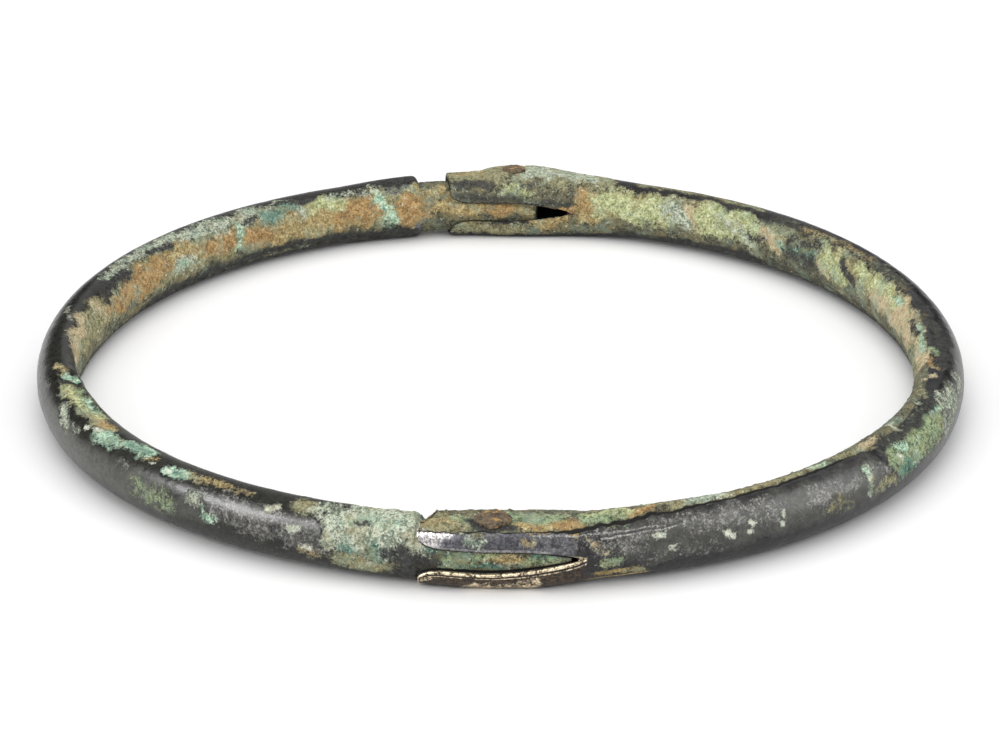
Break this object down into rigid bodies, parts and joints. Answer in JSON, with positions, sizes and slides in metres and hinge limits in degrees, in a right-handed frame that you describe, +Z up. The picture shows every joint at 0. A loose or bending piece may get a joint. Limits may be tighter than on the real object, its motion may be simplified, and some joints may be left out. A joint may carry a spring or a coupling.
{
  "type": "armlet",
  "caption": "Ancient bronze armlet: a plain oval-section ring in two halves that plug into each other, held by upright iron pins, under green and ochre corrosion.",
  "frame": {"origin": "middle of the ring in plan, on the surface it lies on", "axes": "+Z up, out of the ring's plane; -Y towards the front joint, +Y towards the back joint, -X the plug half, +X the socket half"},
  "size_m": [0.0948, 0.0949, 0.0078],
  "materials": {
    "plug_half": "dark bronze under mottled sage-green, mint and ochre corrosion, satin where bare",
    "socket_half": "smooth near-black bronze with a soft sheen, green crust on its inner side and bright worn edges",
    "iron_pin": "rough orange-brown rust"
  },
  "bodies": {
    "root": {"plug_half": "plug_half", "socket_half": "socket_half", "iron_pin_front": "iron_pin", "iron_pin_back": "iron_pin"}
  },
  "joints": []
}
